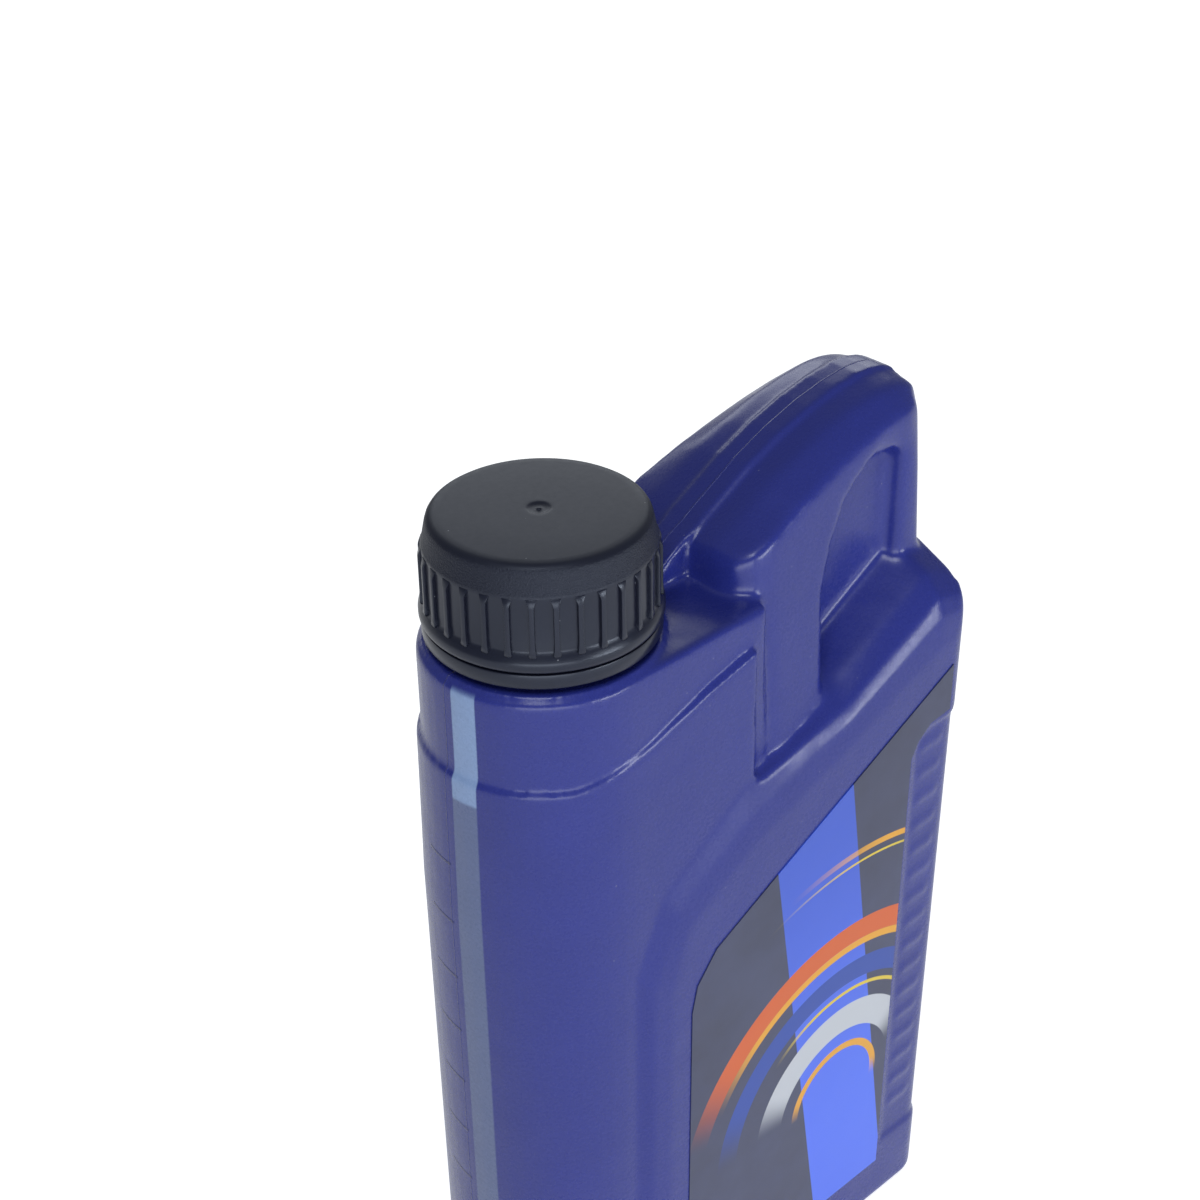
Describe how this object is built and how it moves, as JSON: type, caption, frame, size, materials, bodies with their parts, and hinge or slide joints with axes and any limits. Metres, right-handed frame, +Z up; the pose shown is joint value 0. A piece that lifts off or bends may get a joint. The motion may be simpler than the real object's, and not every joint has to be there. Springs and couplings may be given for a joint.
{
  "type": "motor oil bottle",
  "caption": "Blow-moulded motor oil bottle with a raised finger grip, flat label sides and a ribbed screw cap over a tamper ring; the cap unscrews and lifts off.",
  "frame": {"origin": "centre of the bounding box's bottom, on the plane that the base rim stands on", "axes": "+Z up; +X from the neck towards the grip; the front label faces -Y"},
  "size_m": [0.1259, 0.0588, 0.2289],
  "materials": {
    "bottle_plastic": "satin blow-moulded polyethylene",
    "cap_plastic": "fine matte texture",
    "liner_foam": "smooth foam sheet",
    "label_film": "printed film",
    "oil": "clear amber liquid"
  },
  "bodies": {
    "bottle": {"bottle_body": "bottle_plastic", "tamper_ring": "cap_plastic", "front_label": "label_film", "back_label": "label_film", "motor_oil": "oil"},
    "lift_stage": {"cap_liner": "liner_foam"},
    "cap": {"screw_cap": "cap_plastic"}
  },
  "joints": [
    {"name": "cap_lift", "type": "slide", "parent": "bottle", "child": "lift_stage", "axis": [0, 0, 1], "range_m": [0, 0.02702]},
    {"name": "cap_turn", "type": "hinge", "parent": "lift_stage", "child": "cap", "pos_m": [-0.03655, 0, 0.206], "axis": [0, 0, 1], "range_deg": [0, 2160]}
  ],
  "couplings": [
    {"joint": "cap_lift", "follows": "cap_turn", "m_per_rad": 0.0007162}
  ]
}
